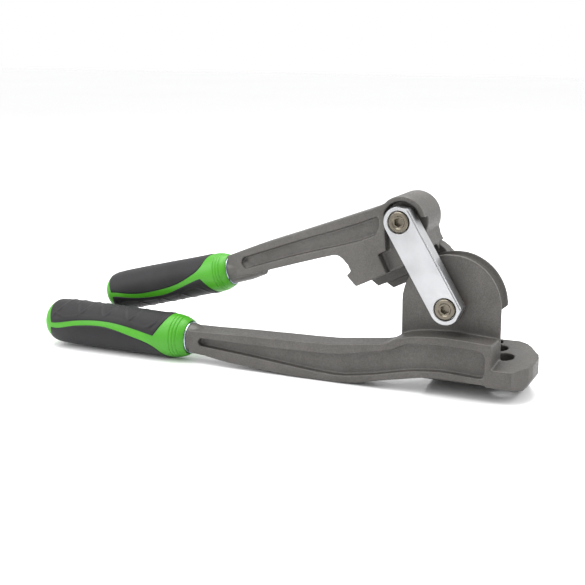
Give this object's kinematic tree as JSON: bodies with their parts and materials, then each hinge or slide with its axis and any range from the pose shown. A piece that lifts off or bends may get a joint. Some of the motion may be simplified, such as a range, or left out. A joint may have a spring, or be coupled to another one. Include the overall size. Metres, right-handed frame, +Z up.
{
  "type": "lever tube bender",
  "caption": "Two-handled lever bender that forms soft metal tube round a grooved half-round former by a swinging shoe lever.",
  "frame": {"origin": "centre of the bounding box at the surface the tool stands on", "axes": "+X along the tool from the grips to the hook, +Y from the link side to the back, +Z up"},
  "size_m": [0.2752, 0.0476, 0.0945],
  "materials": {
    "casting": "bead-blasted grey casting, satin",
    "plate": "bright plated steel",
    "screw": "nickel plated, slightly warm",
    "bronze": "plain sintered bronze",
    "tube": "bright plated steel tube",
    "green": "bright green moulded plastic",
    "black": "charcoal soft-touch elastomer"
  },
  "bodies": {
    "frame": {"former_frame": "casting", "lower_pivot_screw": "screw", "lower_thrust_washer": "bronze", "lower_nut_washer": "plate", "lower_lock_nut": "plate", "lower_handle_tube": "tube", "lower_grip_core": "green", "lower_finger_pad": "black", "lower_palm_pad": "black"},
    "link": {"link_plate": "plate", "lower_pivot_bush": "bronze", "upper_pivot_bush": "bronze"},
    "lever": {"shoe_lever": "casting", "upper_pivot_screw": "screw", "upper_thrust_washer": "bronze", "upper_nut_washer": "plate", "upper_lock_nut": "plate", "upper_handle_tube": "tube", "upper_grip_core": "green", "upper_finger_pad": "black", "upper_palm_pad": "black"}
  },
  "joints": [
    {"name": "link_swing", "type": "hinge", "parent": "frame", "child": "link", "pos_m": [0.09607, -0.01485, 0.04217], "axis": [0, 1, 0], "range_deg": [0, 110]},
    {"name": "lever_pivot", "type": "hinge", "parent": "link", "child": "lever", "pos_m": [0.07197, -0.01485, 0.08257], "axis": [0, 1, 0], "range_deg": [0, 15]}
  ]
}
